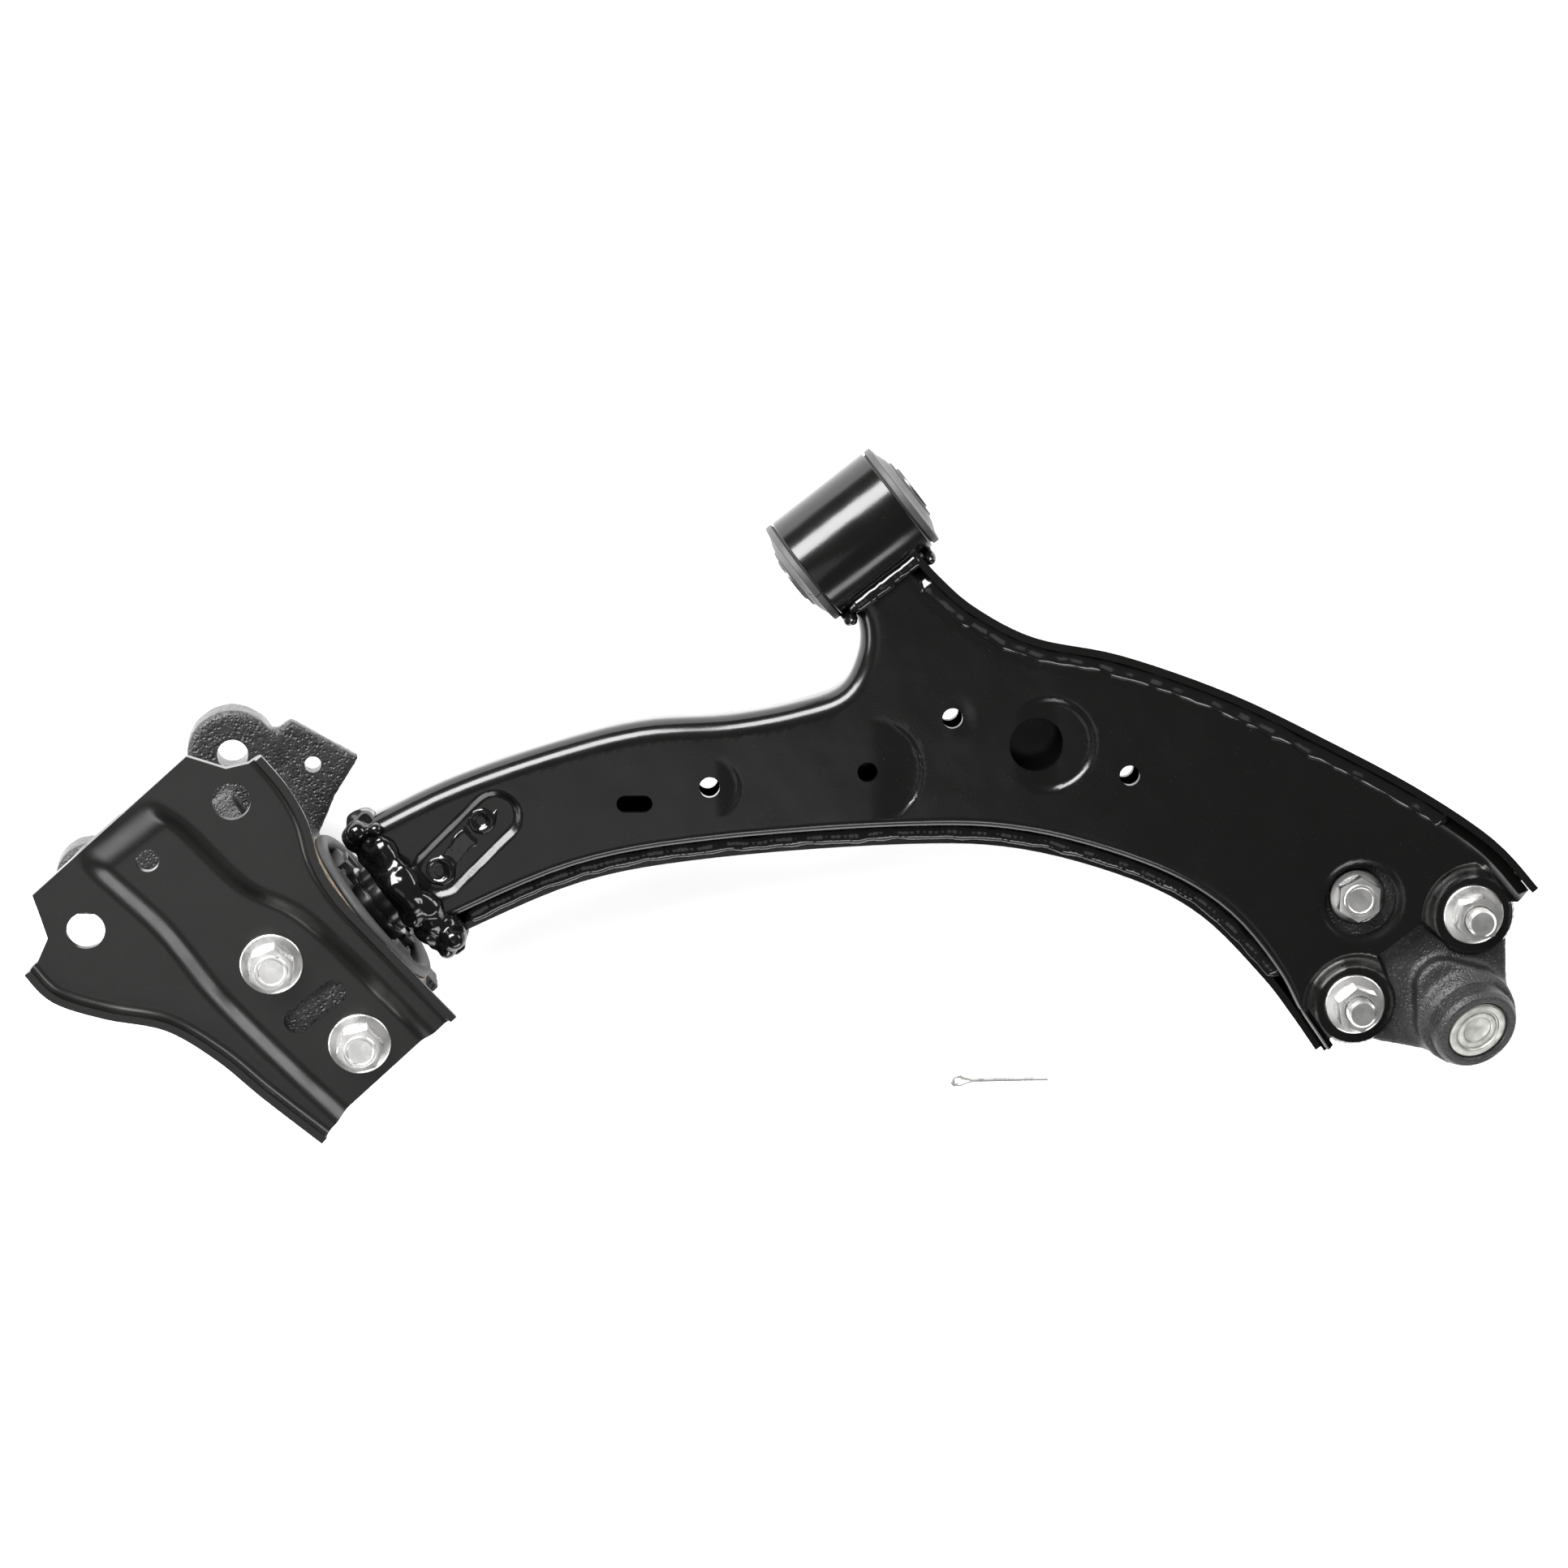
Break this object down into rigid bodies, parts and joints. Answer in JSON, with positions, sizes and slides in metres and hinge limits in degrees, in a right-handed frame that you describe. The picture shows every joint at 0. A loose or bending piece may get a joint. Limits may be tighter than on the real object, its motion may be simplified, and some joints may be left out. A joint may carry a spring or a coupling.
{
  "type": "suspension control arm",
  "caption": "Stamped lower control arm for a car's front suspension, with front bushing, rear bushing bracket and bolt-on ball joint.",
  "frame": {"origin": "centre of the front bushing's bore", "axes": "+X along the pivot axis towards the rear bushing, +Y outboard towards the ball joint, +Z towards the face that carries the nuts, which is the arm's underside on the car"},
  "size_m": [0.5082, 0.4576, 0.1262],
  "materials": {
    "shell_black": "glossy black electrocoat",
    "weld_black": "glossy black coat over a rippled weld",
    "bush_steel": "turned steel",
    "bush_rubber": "matte black rubber",
    "shaft_black": "black coated forging",
    "can_tan": "steel with a tan edge",
    "zinc": "bright zinc plate",
    "cast_black": "rough black casting",
    "plate_black": "satin black coat",
    "housing_dark": "dark phosphated forging",
    "seat_plastic": "natural acetal",
    "cap_steel": "pressed steel disc",
    "stud_steel": "ground steel",
    "boot_rubber": "soft black rubber",
    "ring_steel": "spring steel wire"
  },
  "bodies": {
    "bracket": {"bracket_casting": "cast_black", "stiffener_plate": "plate_black", "plate_bolts": "zinc", "rear_bush_outer": "can_tan", "rear_bush_rubber": "bush_rubber"},
    "arm": {"lower_shell": "shell_black", "upper_shell": "shell_black", "seam_weld_front": "weld_black", "seam_weld_rear": "weld_black", "plug_welds": "weld_black", "front_eye": "shell_black", "eye_weld": "weld_black", "front_bush_outer": "bush_steel", "front_bush_rubber": "bush_rubber", "pivot_shaft": "shaft_black", "shaft_weld": "weld_black", "rear_bush_inner": "bush_steel", "shaft_washer": "zinc", "shaft_nut": "zinc", "ball_housing": "housing_dark", "ball_seat": "seat_plastic", "ball_cap": "cap_steel", "boot_ring_lower": "ring_steel", "joint_bolts": "zinc", "joint_nuts": "zinc", "short_bolt": "zinc", "short_bolt_nut": "zinc"},
    "front_sleeve": {"front_bush_inner": "bush_steel"},
    "boot": {"dust_boot": "boot_rubber"},
    "boot_neck": {"boot_ring_upper": "ring_steel"},
    "stud": {"ball_stud": "stud_steel", "castle_nut": "zinc"},
    "cotter": {"cotter_pin": "zinc"}
  },
  "joints": [
    {"name": "arm_swing", "type": "hinge", "parent": "bracket", "child": "arm", "pos_m": [0.282, 0, 0], "axis": [1, 0, 0], "range_deg": [-18, 18], "stiffness_Nm_per_rad": 170, "springref_deg": 2.86},
    {"name": "sleeve_twist", "type": "hinge", "parent": "arm", "child": "front_sleeve", "pos_m": [0, 0, 0], "axis": [1, 0, 0], "range_deg": [-20, 20], "stiffness_Nm_per_rad": 40},
    {"name": "stud_swing_x", "type": "hinge", "parent": "arm", "child": "boot", "pos_m": [-0.081, 0.325, -0.005], "axis": [1, 0, 0], "range_deg": [-18, 18], "deforming": ["dust_boot"]},
    {"name": "stud_swing_y", "type": "hinge", "parent": "boot", "child": "boot_neck", "pos_m": [-0.081, 0.325, -0.005], "axis": [0, 0.9063, -0.4226], "range_deg": [-18, 18]},
    {"name": "stud_spin", "type": "hinge", "parent": "boot_neck", "child": "stud", "pos_m": [-0.081, 0.325, -0.005], "axis": [0, 0.4226, 0.9063], "continuous": true},
    {"name": "cotter_lift", "type": "slide", "parent": "bracket", "child": "cotter", "axis": [0, 0, 1], "range_m": [0, 0.08]}
  ]
}
